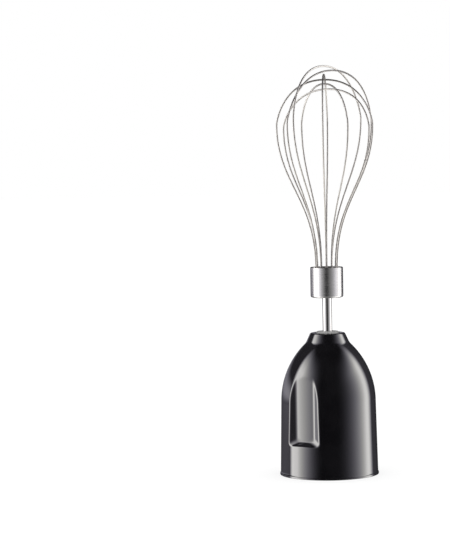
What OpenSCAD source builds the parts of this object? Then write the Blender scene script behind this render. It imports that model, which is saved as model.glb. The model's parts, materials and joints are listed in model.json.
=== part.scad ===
// Balloon-whisk attachment with a planetary gear housing.
// Frame: millimetres, +Z up, origin at the centre of the rim that it stands on.
// The grip recesses face +Y and -Y.

/* [Housing] */
// Outer diameter of the bell at its rim
rim_d = 62; // [60:0.5:80]
// Height of the bell, rim to the top of its collar
housing_h = 90; // [88:1:120]
// Thickness of the bell's wall
wall_t = 2.6; // [2:0.1:3]
// Height of the domed top, from where the bell starts to close
dome_h = 43.6; // [42:0.1:46]
// Radius of the dome's arc
dome_r = 51; // [49:0.5:53]

/* [Grip recesses] */
// Distance of the floor's middle from the axis
recess_floor_y = 27.1; // [26.6:0.1:28]
// Width of the floor
recess_floor_w = 13; // [8:0.1:14]
// Radius of the floor, which is slightly crowned
recess_floor_r = 50; // [40:5:100]
// Width at the bell's surface
recess_rim_w = 22.2; // [16:0.1:24]
// Height of the recess's lower rim
recess_z = 20.3; // [15:0.1:30]

/* [Motor socket] */
// Bore that the motor unit's nose plugs into
socket_d = 43; // [38:0.5:44]
// Depth of that bore
socket_len = 20; // [14:0.5:24]

/* [Gears] */
// Module of all the gears
gear_module = 0.8; // [0.6:0.05:0.82]
// Face width of the gears
gear_face = 8; // [5:0.5:9]
// Teeth of the sun gear
sun_teeth = 12; // [12]
// Teeth of each planet gear
planet_teeth = 18; // [18]

/* [Output hub] */
// Outer diameter of the hub that stands out of the collar
hub_d = 14.4; // [13:0.1:15]
// How far the hub stands above the collar
hub_proud = 0.9; // [0.4:0.1:3]

/* [Whisk] */
// Diameter of the whisk's rod
shaft_d = 6; // [5:0.1:7]
// Bare length of rod between the collar and the ferrule
shaft_bare = 22.4; // [10:0.2:40]
// Outer diameter of the ferrule
ferrule_d = 20.8; // [19:0.2:25]
// Height of the ferrule
ferrule_h = 19.2; // [16:0.2:26]
// Diameter of the wire
wire_d = 1.1; // [0.9:0.05:1.4]
// Largest diameter of the balloon, on the wires' centre lines
balloon_d = 60.6; // [50:0.2:66]
// Height of the tallest loop above the ferrule
balloon_h = 127.3; // [110:1:150]
// How far the wires are turned about the axis, against the grip recesses
whisk_turn = 32; // [0:1:360]

/* [Fits] */
// Radial running clearance of shafts and hubs
run_gap = 0.05; // [0.02:0.01:0.09]
// Clearance round screws and wire ends
seat_gap = 0.05; // [0.02:0.01:0.1]
// Axial clearance beside whatever turns
side_gap = 0.3; // [0.2:0.05:0.5]

/* [Hidden] */
$fn = 96;
eps = 0.01;
over = 1; // how far a cutter runs past a face

// Bell: skirt, dome and collar
rim_r = rim_d / 2;
skirt_draft = 1;
skirt_top_r = rim_r - skirt_draft;
dome_z = housing_h - dome_h;
dome_cx = skirt_top_r - dome_r;
lip_h = 1.4;
lip_proud = 0.35;
collar_top_r = 11.25;
collar_slope = 0.468; // outward per unit down
collar_edge = 0.8;
collar_fillet = 6;
bell_in_r = rim_r - wall_t;

// Housing's inner boss for the output bush and seal
boss_r = 12.5;
boss_drop = 16;
boss_z = housing_h - boss_drop;
bush_r = hub_d / 2 + 2.1;
seal_top_z = housing_h - 2;
seal_h = 4;
hub_r = hub_d / 2;
hub_hole_gap = 0.5;

// Collar that takes the motor unit's nose
collar_z = 2;
flange_t = 2.5;
socket_r = socket_d / 2;
collar_wall = 2.3;
collar_gap = 0.25;
flange_z = collar_z + flange_t;
collar_end_z = collar_z + socket_len;
collar_screw_r = rim_r - 4.8;
boss_pillar_r = 2.2;
boss_pillar_h = 8;
catch_w = 10;
catch_h = 4.5;
catch_depth = 1.3;
key_w = 4;

// Screws
screw_r = 1.1;
head_r = 1.9;
head_h = 1.2;

// Gear set: internal ring, three planets, one sun
ring_teeth = sun_teeth + 2 * planet_teeth;
pressure = 20;
orbit_r = gear_module * (sun_teeth + planet_teeth) / 2;
thin = 0.12; // each gear's teeth are this much thinner, for backlash
ring_root_r = gear_module * (ring_teeth / 2 + 1.25);
case_wall = 1.6;
case_r = ring_root_r + 0.1 + case_wall;
sun_bore_r = 2;
input_bush_r = 4;
pin_r = 1.5;

// Levels of the gearbox, from the bottom up
coupling_z = collar_end_z + 0.5;
coupling_h = 10.5;
coupling_r = 8;
socket_drive_depth = 7;
washer_t = 0.8;
input_washer_z = coupling_z + coupling_h;
bush_flange_t = 1;
input_bush_z = input_washer_z + washer_t + 0.2;
cover_boss_z = input_bush_z + bush_flange_t;
cover_z = cover_boss_z + 1;
cover_t = 3;
case_z = cover_z + cover_t;
ring_plate_t = 1.2;
ring_plate_z = case_z + 0.5;
gear_z = ring_plate_z + ring_plate_t + side_gap;
gear_end_z = gear_z + gear_face;
plate_z = gear_end_z + side_gap;
plate_t = 3.2;
washer_z = plate_z + plate_t;
case_top_z = washer_z + washer_t + 0.2;
case_top_t = 3;
neck_z = case_top_z + case_top_t;
neck_h = 10.5;
neck_end_z = neck_z + neck_h;
neck_r = 11.3;
neck_bore_r = hub_r + 1.8;
lug_r = 2.6;
lug_t = 3;
lug_circle_r = case_r + 2.7;
case_boss_r = 2.4;
case_boss_top = dome_z + 20;
plate_r = orbit_r + 5;

// Hub and rod
hub_top_z = housing_h + hub_proud;
hub_hex_af = 11;
clip_z = neck_end_z + bush_flange_t + side_gap;
clip_t = 1;
clip_groove = 0.6;
shaft_r = shaft_d / 2;
rod_bottom_z = hub_top_z - 27;
rod_hex_len = 10;
rod_shoulder_z = rod_bottom_z + rod_hex_len;
rod_hex_af = shaft_d * cos(30);
hex_gap = 0.12;
snap_z = hub_top_z - 7.5;
snap_h = 1.2;
snap_depth = 0.4;
snap_ring_t = 0.85;

// Ferrule and plug
ferrule_z = housing_h + shaft_bare;
ferrule_top = ferrule_z + ferrule_h;
ferrule_t = 0.8;
ferrule_edge = 1.3;
ferrule_lip = 0.6;
plug_drop = 0.8;
plug_top = ferrule_top - plug_drop;
wire_circle_r = ferrule_d / 2 - 3.7;
wire_seat = 14;
rod_seat = 13;

// Wires: a loop is two lower curves and two upper curves that meet at its apex
wire_r = wire_d / 2;
balloon_r = balloon_d / 2;
rise = 43;   // handle of the lower curve at the ferrule
fall = 36;   // handle of the lower curve at the bulge
crown = 4;   // handle of the upper curve at the bulge
span = 25;   // handle of the upper curve at the apex
steps = 12;
wire_sides = 8;
// Each loop: where its ends stand in the plug, where its right and left halves bulge
// (degrees about +Z), how far its bulge and its apex lie below the tallest apex,
// and how far its apex leans to the right
LOOPS = [
    [60, 41.5, 232, 33, 0, 0],
    [30, 14, 221.5, 36, 2.8, 6],
    [0, -3, 177, 37, 8.6, 0],
    [-60, -60, 120.5, 37, 11.2, 0],
    [-30, -22, 151, 39, 14.6, 2.5],
    [90, 88, 269.6, 35, 5.3, 0],
];

// ---------- shared shapes ----------

// Ring between two radii, between two heights
module ring(r_in, r_out, z0, z1) {
    translate([0, 0, z0])
        difference() {
            cylinder(r = r_out, h = z1 - z0);
            translate([0, 0, -over])
                cylinder(r = r_in, h = z1 - z0 + 2 * over);
        }
}

module disc(r, z0, z1) {
    translate([0, 0, z0])
        cylinder(r = r, h = z1 - z0);
}

// Copies of the children on a circle, the first at angle start
module around(count, radius, start = 0) {
    for (i = [0 : count - 1])
        rotate(start + i * 360 / count)
            translate([radius, 0, 0])
                children();
}

// Pan-head screw along +Z, head below z = 0
module screw(len) {
    difference() {
        union() {
            cylinder(r = screw_r, h = len);
            translate([0, 0, -head_h])
                cylinder(r = head_r, h = head_h);
        }
        for (a = [0, 90])
            rotate(a)
                translate([-1.2, -0.25, -head_h - over])
                    cube([2.4, 0.5, 0.6 + over]);
    }
}

// ---------- involute gears ----------

function involute(a) = tan(a) - a * PI / 180;

// Half of a tooth's angle at radius r
function half_angle(r, teeth, shrink) =
    let (
        pitch_r = gear_module * teeth / 2,
        at_pitch = (PI * gear_module / 2 - shrink) / (2 * pitch_r),
        lean = acos(min(1, pitch_r * cos(pressure) / r))
    )
    (at_pitch + involute(pressure) - involute(lean)) * 180 / PI;

// Outline of a gear whose first tooth is centred on +X
module gear_outline(teeth, tip_r, root_r, shrink) {
    base_r = gear_module * teeth / 2 * cos(pressure);
    low_r = max(base_r, root_r);
    flank = 5;
    // one flank from the root up: straight to the base circle, then involute
    side = concat(
        root_r < base_r ? [[root_r, half_angle(low_r, teeth, shrink)]] : [],
        [for (i = [0 : flank])
            let (r = low_r + (tip_r - low_r) * i / flank)
            [r, half_angle(r, teeth, shrink)]]
    );
    points = [
        for (t = [0 : teeth - 1])
            each concat(
                [for (p = side) [p[0], t * 360 / teeth - p[1]]],
                [for (i = [len(side) - 1 : -1 : 0])
                    [side[i][0], t * 360 / teeth + side[i][1]]]
            )
    ];
    polygon([for (p = points) p[0] * [cos(p[1]), sin(p[1])]]);
}

module planet_gear(index) {
    rotate(index * 120)
        translate([orbit_r, 0, gear_z])
            rotate(180 / planet_teeth)
                difference() {
                    linear_extrude(gear_face)
                        gear_outline(
                            planet_teeth,
                            gear_module * (planet_teeth / 2 + 0.84),
                            gear_module * (planet_teeth / 2 - 1.25),
                            thin
                        );
                    translate([0, 0, -over])
                        cylinder(r = pin_r + run_gap, h = gear_face + 2 * over);
                }
}

// ---------- housing ----------

// Where the fillet between dome and collar is centred: touching both from outside
function fillet_centre() =
    let (
        n = [1, collar_slope] / sqrt(1 + collar_slope * collar_slope),
        t = [-n[1], n[0]],
        dome_c = [dome_cx, dome_z],
        edge = [collar_top_r, housing_h - collar_edge],
        along_n = n * edge + collar_fillet - n * dome_c,
        reach = dome_r + collar_fillet
    )
    dome_c + along_n * n + sqrt(reach * reach - along_n * along_n) * t;

module bell_profile() {
    collar_foot = dome_h * 0.22; // how far the collar's cone reaches down into the dome
    centre = fillet_centre();
    // skirt with its lip
    polygon([
        [0, 0],
        [rim_r - 0.2, 0],
        [rim_r + lip_proud, 0.5],
        [rim_r + lip_proud, lip_h - 0.3],
        [rim_r, lip_h],
        [skirt_top_r, dome_z],
        [0, dome_z],
    ]);
    // dome
    intersection() {
        translate([dome_cx, dome_z])
            circle(r = dome_r);
        translate([0, dome_z - eps])
            square([rim_r, dome_h - 6]);
    }
    // collar
    polygon([
        [0, housing_h - collar_foot],
        [collar_top_r + collar_slope * (collar_foot - collar_edge), housing_h - collar_foot],
        [collar_top_r, housing_h - collar_edge],
        [collar_top_r - collar_edge * 0.35, housing_h - collar_edge * 0.25],
        [collar_top_r - collar_edge, housing_h],
        [0, housing_h],
    ]);
    // fillet where the dome runs up into the collar
    difference() {
        polygon([
            [collar_top_r, dome_z + dome_h * 0.75],
            [dome_cx + (centre[0] - dome_cx) * dome_r / (dome_r + collar_fillet),
             dome_z + (centre[1] - dome_z) * dome_r / (dome_r + collar_fillet)],
            centre,
            centre - collar_fillet * [1, collar_slope] / sqrt(1 + collar_slope * collar_slope),
            [collar_top_r, housing_h - collar_edge],
        ]);
        translate(centre)
            circle(r = collar_fillet);
    }
}

module cavity_profile() {
    difference() {
        union() {
            polygon([
                [0, -over],
                [bell_in_r, -over],
                [bell_in_r, 0],
                [skirt_top_r - wall_t, dome_z],
                [0, dome_z],
            ]);
            intersection() {
                translate([dome_cx, dome_z])
                    circle(r = dome_r - wall_t);
                translate([0, dome_z - eps])
                    square([rim_r, dome_h]);
            }
        }
        translate([-eps, boss_z])
            square([boss_r + eps, dome_h]);
    }
    translate([0, boss_z - over])
        square([bush_r, seal_top_z - boss_z + over]);
    square([hub_r + hub_hole_gap, housing_h + over]);
}

// Wedge-sided pocket, open upwards, that faces +Y
module recess_cutter() {
    floor_half = recess_floor_w / 2;
    crown_y = recess_floor_y - recess_floor_r;
    edge_y = crown_y + sqrt(pow(recess_floor_r, 2) - pow(floor_half, 2));
    slope = (recess_rim_w - recess_floor_w) / 2 / 1.5;
    reach = 7;
    side = floor_half + slope * reach;
    corner_r = 3.2;
    foot_slope = 0.84; // fall of the pocket's foot per unit outward
    recess_rim_r = rim_r - skirt_draft * recess_z / dome_z;
    intersection() {
        linear_extrude(housing_h)
            difference() {
                polygon([
                    [-floor_half, edge_y],
                    [floor_half, edge_y],
                    [side, edge_y + reach],
                    [-side, edge_y + reach],
                ]);
                translate([0, crown_y])
                    circle(r = recess_floor_r);
            }
        rotate_extrude()
            polygon([
                [edge_y - eps, recess_z + (recess_rim_r - edge_y) * foot_slope],
                [rim_r + reach, recess_z - (rim_r + reach - recess_rim_r) * foot_slope],
                [rim_r + reach, housing_h],
                [edge_y - eps, housing_h],
            ]);
        translate([0, rim_r + reach, 0])
            rotate([90, 0, 0])
                linear_extrude(reach + rim_r - recess_floor_y + 2) {
                    for (s = [-1, 1])
                        translate([s * (recess_rim_w / 2 - corner_r), recess_z + corner_r])
                            circle(r = corner_r);
                    translate([-recess_rim_w / 2, recess_z + corner_r])
                        square([recess_rim_w, housing_h]);
                    translate([corner_r - recess_rim_w / 2, recess_z])
                        square([recess_rim_w - 2 * corner_r, housing_h]);
                }
    }
}

// The wall behind a recess stays whole: a flat pad inside the bell
module recess_pad() {
    pad_w = recess_rim_w + 4.6;
    translate([-pad_w / 2, recess_floor_y - 2, recess_z - 3])
        cube([pad_w, rim_r, dome_z + 20 - recess_z + 3]);
}

module housing_pillars() {
    around(4, collar_screw_r)
        disc(boss_pillar_r, flange_z, flange_z + boss_pillar_h);
    around(4, lug_circle_r, 45) {
        disc(case_boss_r, case_z + lug_t, case_boss_top);
        translate([0, -0.8, case_z + lug_t])
            cube([6, 1.6, case_boss_top - case_z - lug_t]);
    }
}

module housing() {
    color([0.05, 0.05, 0.06])
        difference() {
            rotate_extrude()
                bell_profile();
            difference() {
                rotate_extrude()
                    cavity_profile();
                recess_pad();
                rotate(180)
                    recess_pad();
                housing_pillars();
            }
            recess_cutter();
            rotate(180)
                recess_cutter();
            around(4, collar_screw_r)
                disc(screw_r + seat_gap, flange_z - over, flange_z + boss_pillar_h - 1);
            around(4, lug_circle_r, 45)
                disc(screw_r + seat_gap, case_z + lug_t - over, case_z + lug_t + 9);
        }
}

// ---------- motor socket ----------

module coupling_collar() {
    color([0.16, 0.16, 0.17])
        difference() {
            union() {
                disc(bell_in_r - collar_gap, collar_z, flange_z);
                disc(socket_r + collar_wall, collar_z, collar_end_z);
            }
            disc(socket_r, collar_z - over, collar_end_z + over);
            // two catch pockets for the motor unit's snap catches
            for (s = [-1, 1])
                translate([s * (socket_r + catch_depth / 2), 0, collar_z + socket_len * 0.6])
                    cube([catch_depth * 2, catch_w, catch_h], center = true);
            // two key slots, so that the nose goes in one way
            for (s = [-1, 1])
                translate([-key_w / 2, s > 0 ? socket_r - over : -socket_r - 1, collar_z - over])
                    cube([key_w, 1 + over, socket_len * 0.8]);
            around(4, collar_screw_r)
                disc(screw_r + seat_gap, collar_z - over, flange_z + over);
        }
}

module collar_screws() {
    color([0.7, 0.7, 0.72])
        around(4, collar_screw_r)
            translate([0, 0, collar_z])
                screw(flange_t + boss_pillar_h - 2);
}

// ---------- gearbox ----------

module lugs(z0, z1) {
    around(4, 0, 45) {
        translate([lug_circle_r, 0, 0])
            disc(lug_r, z0, z1);
        translate([case_r - 2, -lug_r, z0])
            cube([lug_circle_r - case_r + 2, 2 * lug_r, z1 - z0]);
    }
}

module gear_cover() {
    color([0.82, 0.82, 0.8])
        difference() {
            union() {
                disc(case_r, cover_z, case_z);
                lugs(cover_z, case_z);
                disc(7, cover_boss_z, case_z);
            }
            disc(input_bush_r, cover_boss_z - over, case_z + over);
            around(4, lug_circle_r, 45)
                disc(screw_r + seat_gap, cover_z - over, case_z + over);
        }
}

module gear_case() {
    color([0.82, 0.82, 0.8])
        difference() {
            union() {
                disc(case_r, case_z, neck_z);
                lugs(case_z, case_z + lug_t);
                disc(neck_r, neck_z - eps, neck_end_z);
            }
            // spaces of the internal ring gear
            translate([0, 0, case_z - over])
                linear_extrude(plate_z - case_z + over)
                    rotate(180 / ring_teeth)
                        gear_outline(
                            ring_teeth,
                            ring_root_r,
                            gear_module * (ring_teeth / 2 - 0.8),
                            -thin
                        );
            disc(ring_root_r + 0.1, plate_z - eps, case_top_z);
            disc(neck_bore_r, case_top_z - over, neck_end_z + over);
            around(4, lug_circle_r, 45)
                disc(screw_r + seat_gap, case_z - over, case_z + lug_t + over);
        }
}

module case_screws() {
    color([0.7, 0.7, 0.72])
        around(4, lug_circle_r, 45)
            translate([0, 0, cover_z])
                screw(cover_t + lug_t + 8);
}

module input_bush() {
    color([0.72, 0.55, 0.3])
        difference() {
            union() {
                disc(input_bush_r + 1.5, input_bush_z, cover_boss_z);
                disc(input_bush_r, input_bush_z, gear_z - side_gap);
            }
            disc(sun_bore_r + run_gap, input_bush_z - over, gear_z + over);
        }
}

module neck_bush() {
    color([0.72, 0.55, 0.3])
        difference() {
            union() {
                disc(neck_bore_r, neck_z, neck_end_z);
                disc(neck_bore_r + 1.6, neck_end_z, neck_end_z + bush_flange_t);
            }
            disc(hub_r + run_gap, neck_z - over, neck_end_z + over + bush_flange_t);
        }
}

module output_bush() {
    color([0.72, 0.55, 0.3])
        difference() {
            union() {
                disc(bush_r, boss_z - bush_flange_t, seal_top_z - seal_h);
                disc(bush_r + 1.5, boss_z - bush_flange_t, boss_z);
            }
            disc(hub_r + run_gap, boss_z - over - bush_flange_t, seal_top_z);
        }
}

module shaft_seal() {
    lip = 0.8;
    color([0.08, 0.08, 0.08])
        difference() {
            disc(bush_r, seal_top_z - seal_h, seal_top_z);
            disc(hub_r + 0.08, seal_top_z - seal_h - over, seal_top_z + over);
            ring(hub_r - lip, hub_r + lip, seal_top_z - seal_h + 1, seal_top_z - 1);
        }
}

// ---------- input ----------

module drive_coupling() {
    color([0.75, 0.75, 0.73])
        difference() {
            disc(coupling_r, coupling_z, input_washer_z);
            // six-pointed socket for the motor's spindle
            disc(3.4, coupling_z - over, coupling_z + socket_drive_depth);
            around(6, 3.5)
                disc(0.9, coupling_z - over, coupling_z + socket_drive_depth);
            disc(sun_bore_r, coupling_z, input_washer_z + over);
        }
}

module sun_shaft() {
    color([0.75, 0.76, 0.78])
        disc(sun_bore_r, coupling_z + socket_drive_depth, gear_end_z);
}

module sun_gear() {
    color([0.85, 0.84, 0.78])
        translate([0, 0, gear_z])
            difference() {
                linear_extrude(gear_face)
                    gear_outline(
                        sun_teeth,
                        gear_module * (sun_teeth / 2 + 1),
                        gear_module * (sun_teeth / 2 - 1.25),
                        thin
                    );
                translate([0, 0, -over])
                    cylinder(r = sun_bore_r, h = gear_face + 2 * over);
            }
}

module input_washer() {
    color([0.75, 0.76, 0.78])
        ring(sun_bore_r + run_gap, 5, input_washer_z, input_washer_z + washer_t);
}

// ---------- carrier and hub ----------

module pin_holes() {
    around(3, orbit_r)
        disc(pin_r, ring_plate_z - over, washer_z + over);
}

module carrier_ring() {
    color([0.75, 0.76, 0.78])
        difference() {
            disc(plate_r, ring_plate_z, ring_plate_z + ring_plate_t);
            disc(gear_module * (sun_teeth / 2 + 1) + 0.8, ring_plate_z - over, gear_z);
            pin_holes();
        }
}

module carrier_plate() {
    color([0.75, 0.76, 0.78])
        difference() {
            disc(plate_r, plate_z, washer_z);
            translate([0, 0, plate_z - over])
                cylinder(d = hub_hex_af / cos(30), h = plate_t + 2 * over, $fn = 6);
            pin_holes();
        }
}

module planet_pins() {
    color([0.8, 0.8, 0.82])
        around(3, orbit_r)
            disc(pin_r, ring_plate_z, washer_z);
}

module planet_gear_1() {
    color([0.9, 0.89, 0.84]) planet_gear(0);
}

module planet_gear_2() {
    color([0.9, 0.89, 0.84]) planet_gear(1);
}

module planet_gear_3() {
    color([0.9, 0.89, 0.84]) planet_gear(2);
}

module thrust_washer() {
    color([0.9, 0.9, 0.88])
        ring(hub_r + run_gap, 14, washer_z, washer_z + washer_t);
}

module output_hub() {
    chamfer = 0.5;
    bore_r = shaft_r + run_gap;
    color([0.74, 0.74, 0.74])
        difference() {
            union() {
                rotate_extrude()
                    polygon([
                        [0, washer_z],
                        [hub_r, washer_z],
                        [hub_r, hub_top_z - chamfer],
                        [hub_r - chamfer, hub_top_z],
                        [0, hub_top_z],
                    ]);
                translate([0, 0, plate_z])
                    cylinder(d = hub_hex_af / cos(30), h = plate_t + eps, $fn = 6);
            }
            // rod's bore, and the hexagon below it that drives the rod
            disc(bore_r, rod_shoulder_z, hub_top_z + over);
            translate([0, 0, rod_bottom_z - 0.5])
                cylinder(d = (rod_hex_af + hex_gap) / cos(30), h = rod_hex_len + 1, $fn = 6);
            ring(bore_r - over, shaft_r + 1, snap_z, snap_z + snap_h + 0.1);
            ring(hub_r - clip_groove, hub_r + over, clip_z, clip_z + clip_t);
        }
}

// Open ring: the gap faces angle 0
module hub_circlip() {
    color([0.35, 0.36, 0.38])
        difference() {
            ring(hub_r - clip_groove, hub_r + 1.8, clip_z, clip_z + clip_t);
            translate([0, -2, clip_z - over])
                cube([hub_r + 4, 4, clip_t + 2 * over]);
        }
}

module retaining_ring() {
    color([0.75, 0.76, 0.78])
        difference() {
            ring(shaft_r + run_gap, shaft_r + run_gap + snap_ring_t, snap_z, snap_z + snap_h);
            translate([0, -0.6, snap_z - over])
                cube([shaft_r + 4, 1.2, snap_h + 2 * over]);
        }
}

// ---------- whisk ----------

module whisk_shaft() {
    color([0.78, 0.78, 0.8])
        difference() {
            union() {
                disc(shaft_r, rod_shoulder_z, ferrule_z + ferrule_t + rod_seat);
                translate([0, 0, rod_bottom_z])
                    cylinder(r = shaft_r, h = rod_hex_len + eps, $fn = 6);
            }
            ring(shaft_r - snap_depth, shaft_r + over, snap_z, snap_z + snap_h);
        }
}

module ferrule() {
    r = ferrule_d / 2;
    h = ferrule_h;
    e = ferrule_edge;
    lip = ferrule_lip;
    color([0.72, 0.73, 0.75])
        translate([0, 0, ferrule_z])
            difference() {
                // cup with a rounded foot and a lightly rounded mouth
                rotate_extrude() {
                    polygon([[0, 0], [r - e, 0], [r, e], [r, h - lip], [r - lip, h], [0, h]]);
                    translate([r - e, e])
                        circle(r = e);
                    translate([r - lip, h - lip])
                        circle(r = lip);
                }
                disc(r - ferrule_t, ferrule_t, h + over);
                disc(shaft_r + seat_gap, -over, ferrule_t + over);
            }
}

module ferrule_plug() {
    r = ferrule_d / 2 - ferrule_t;
    color([0.5, 0.5, 0.5])
        difference() {
            disc(r, ferrule_z + ferrule_t, plug_top);
            disc(shaft_r, ferrule_z, ferrule_z + ferrule_t + rod_seat);
            around(12, wire_circle_r, whisk_turn)
                disc(wire_r + seat_gap, ferrule_top - wire_seat, ferrule_top);
        }
}

// ---------- wires ----------

function unit(v) = v / norm(v);
function polar(r, a, z) = [r * cos(a), r * sin(a), z];

function bezier(p, t) =
    pow(1 - t, 3) * p[0] + 3 * pow(1 - t, 2) * t * p[1]
    + 3 * (1 - t) * t * t * p[2] + t * t * t * p[3];

// One half of a loop, from its end in the plug up to its apex
function half_loop(end_a, bulge_a, bulge_z, apex, along) =
    let (
        z0 = ferrule_top,
        up = [0, 0, 1],
        foot = polar(wire_circle_r, end_a, z0),
        bulge = polar(balloon_r, bulge_a, bulge_z),
        low = [foot, foot + rise * up, bulge - fall * up, bulge],
        high = [bulge, bulge + crown * up, apex + span * along, apex]
    )
    concat(
        [polar(wire_circle_r, end_a, z0 - wire_seat)],
        [for (i = [0 : steps]) bezier(low, i / steps)],
        [for (i = [1 : steps]) bezier(high, i / steps)]
    );

function reversed(v) = [for (i = [len(v) - 1 : -1 : 0]) v[i]];

// Centre line of a loop: up one half and down the other
function loop_path(l) =
    let (
        top_z = ferrule_top + balloon_h - wire_r,
        right = polar(balloon_r, l[1], 0),
        left = polar(balloon_r, l[2], 0),
        along = unit(right - left),
        apex = [0, 0, top_z - l[4]] + l[5] * along,
        bulge_z = top_z - l[3],
        first = half_loop(l[0], l[1], bulge_z, apex, along),
        second = half_loop(l[0] + 180, l[2], bulge_z, apex, -along)
    )
    concat(first, [for (i = [len(second) - 2 : -1 : 0]) second[i]]);

// Round wire along a path whose plane's normal is side
module tube(path, side) {
    n = len(path);
    rings = [
        for (i = [0 : n - 1])
            let (
                t = unit(path[min(i + 1, n - 1)] - path[max(i - 1, 0)]),
                u = unit(cross(side, t)),
                v = cross(t, u)
            )
            each [for (k = [0 : wire_sides - 1])
                let (a = 360 * k / wire_sides)
                path[i] + wire_r * (cos(a) * u + sin(a) * v)]
    ];
    skin = [
        for (i = [0 : n - 2])
            for (k = [0 : wire_sides - 1])
                let (
                    k2 = (k + 1) % wire_sides,
                    a = i * wire_sides
                )
                each [
                    [a + k, a + wire_sides + k2, a + k2],
                    [a + k, a + wire_sides + k, a + wire_sides + k2],
                ]
    ];
    last = (n - 1) * wire_sides;
    caps = [
        [for (k = [0 : wire_sides - 1]) k],
        [for (k = [wire_sides - 1 : -1 : 0]) last + k],
    ];
    polyhedron(points = rings, faces = concat(skin, caps), convexity = 6);
}

module whisk_wire(index) {
    l = LOOPS[index];
    side = unit(cross(polar(1, l[1], 0) - polar(1, l[2], 0), [0, 0, 1]));
    color([0.72, 0.73, 0.75])
        rotate(whisk_turn)
            tube(loop_path(l), side);
}

module whisk_wire_1() {
    whisk_wire(0);
}

module whisk_wire_2() {
    whisk_wire(1);
}

module whisk_wire_3() {
    whisk_wire(2);
}

module whisk_wire_4() {
    whisk_wire(3);
}

module whisk_wire_5() {
    whisk_wire(4);
}

module whisk_wire_6() {
    whisk_wire(5);
}

housing();
coupling_collar();
collar_screws();
gear_cover();
gear_case();
case_screws();
input_bush();
neck_bush();
output_bush();
shaft_seal();
drive_coupling();
sun_shaft();
sun_gear();
input_washer();
carrier_ring();
carrier_plate();
planet_pins();
planet_gear_1();
planet_gear_2();
planet_gear_3();
thrust_washer();
output_hub();
hub_circlip();
retaining_ring();
whisk_shaft();
ferrule();
ferrule_plug();
whisk_wire_1();
whisk_wire_2();
whisk_wire_3();
whisk_wire_4();
whisk_wire_5();
whisk_wire_6();
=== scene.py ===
"""A balloon whisk on its bell-shaped gear housing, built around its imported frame.

Everything is in metres, +Z up, with the origin at the centre of the rim that the bell stands on.
"""
import json
import math

import bmesh
import bpy
from bpy.props import FloatProperty, FloatVectorProperty, IntProperty, PointerProperty
from mathutils import Euler, Matrix, Vector

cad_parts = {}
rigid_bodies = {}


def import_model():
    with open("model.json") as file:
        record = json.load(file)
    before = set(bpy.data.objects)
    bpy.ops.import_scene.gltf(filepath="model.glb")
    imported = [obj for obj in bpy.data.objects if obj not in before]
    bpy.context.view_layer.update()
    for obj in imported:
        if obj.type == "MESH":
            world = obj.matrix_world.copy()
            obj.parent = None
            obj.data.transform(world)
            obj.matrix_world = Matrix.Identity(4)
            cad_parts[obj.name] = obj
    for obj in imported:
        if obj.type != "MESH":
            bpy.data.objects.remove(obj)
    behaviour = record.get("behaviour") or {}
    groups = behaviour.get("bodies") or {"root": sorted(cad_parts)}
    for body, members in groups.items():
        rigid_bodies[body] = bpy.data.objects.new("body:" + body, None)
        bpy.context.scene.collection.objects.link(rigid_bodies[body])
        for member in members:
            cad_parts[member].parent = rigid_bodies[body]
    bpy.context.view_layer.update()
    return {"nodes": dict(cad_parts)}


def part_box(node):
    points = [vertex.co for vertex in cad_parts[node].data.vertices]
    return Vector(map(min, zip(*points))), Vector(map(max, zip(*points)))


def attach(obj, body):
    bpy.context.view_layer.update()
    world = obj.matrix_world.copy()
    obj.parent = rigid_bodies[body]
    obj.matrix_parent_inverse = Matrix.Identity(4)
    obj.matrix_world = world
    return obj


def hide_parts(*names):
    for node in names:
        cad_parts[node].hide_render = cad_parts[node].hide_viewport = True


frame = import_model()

bl_info = {
    "name": "Balloon whisk attachment",
    "version": (1, 0, 0),
    "blender": (4, 5, 0),
    "location": "View3D > Sidebar > Whisk",
    "description": "Builds a balloon whisk on a bell-shaped gear housing",
    "category": "Object",
}

MM = 0.001
BELL_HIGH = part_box("housing")[1]
HUB_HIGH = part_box("output_hub")[1]
FERRULE_LOW, FERRULE_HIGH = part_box("ferrule")
ROD_LOW, ROD_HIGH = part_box("whisk_shaft")


# ---------------------------------------------------------------- sizes and colours

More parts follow.
